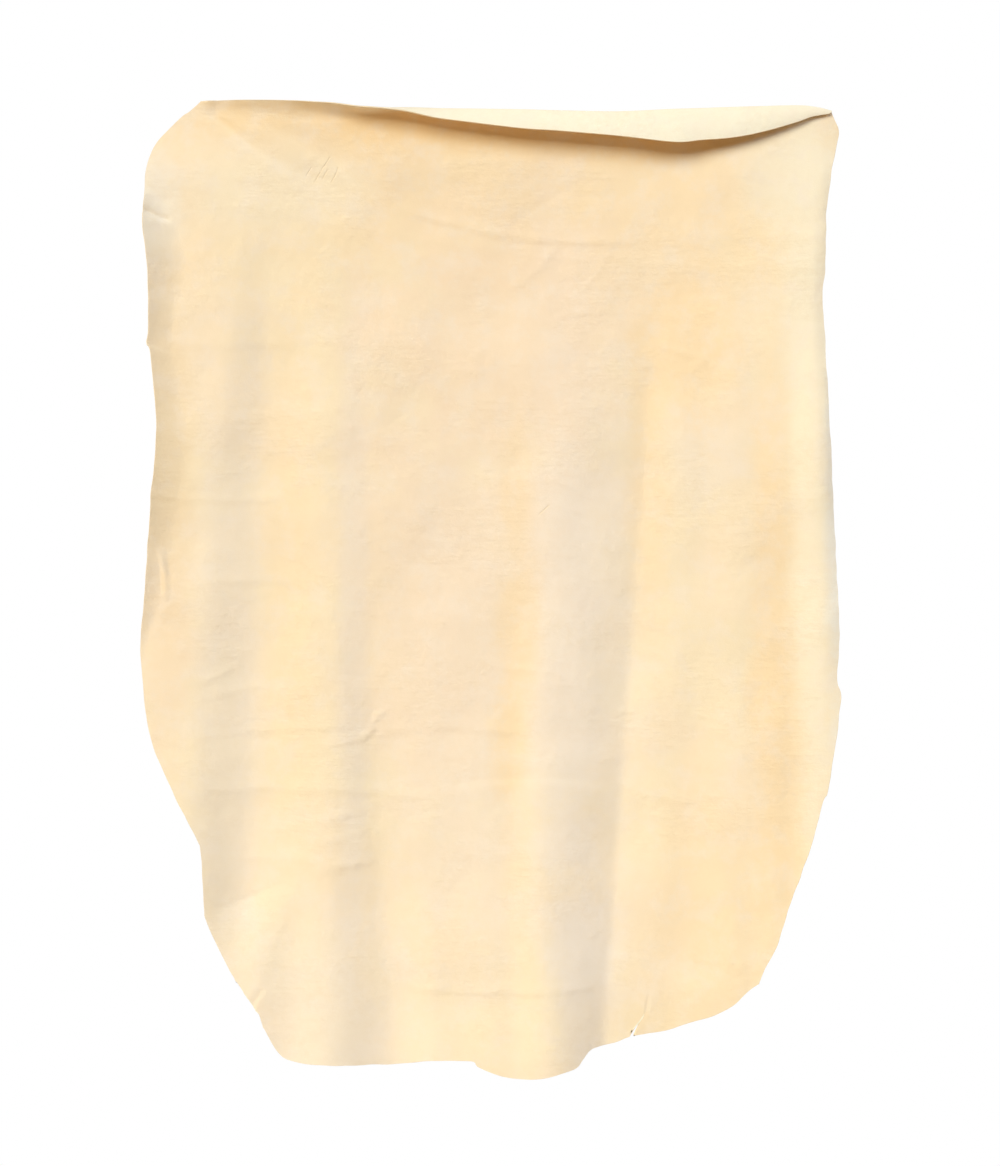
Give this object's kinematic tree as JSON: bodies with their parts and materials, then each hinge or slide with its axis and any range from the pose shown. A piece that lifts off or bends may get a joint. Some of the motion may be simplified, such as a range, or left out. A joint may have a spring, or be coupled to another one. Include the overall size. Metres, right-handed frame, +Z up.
{
  "type": "chamois leather",
  "caption": "Soft whole chamois skin for drying and polishing, hung by its upper corners, with its top edge turned forward and the rest falling in soft folds.",
  "frame": {"origin": "middle of the hanging line, the straight line between the two held upper corners", "axes": "+Z up, +X to the right seen from the front, +Y to the back, so the front of the skin faces -Y"},
  "size_m": [0.6045, 0.0303, 0.8479],
  "materials": {
    "leather": "soft napped, matt"
  },
  "bodies": {
    "band": {"upper_band": "leather"},
    "flap": {"top_flap": "leather"},
    "fall": {"main_fall": "leather"}
  },
  "joints": [
    {"name": "flap_fold", "type": "hinge", "parent": "band", "child": "flap", "pos_m": [0, 0, 0], "axis": [-1, 0, 0], "range_deg": [-9, 185]},
    {"name": "crease_fold", "type": "hinge", "parent": "band", "child": "fall", "pos_m": [-0.022, 0, -0.0955], "axis": [-0.9902, 0, 0.1399], "range_deg": [-150, 150]}
  ]
}
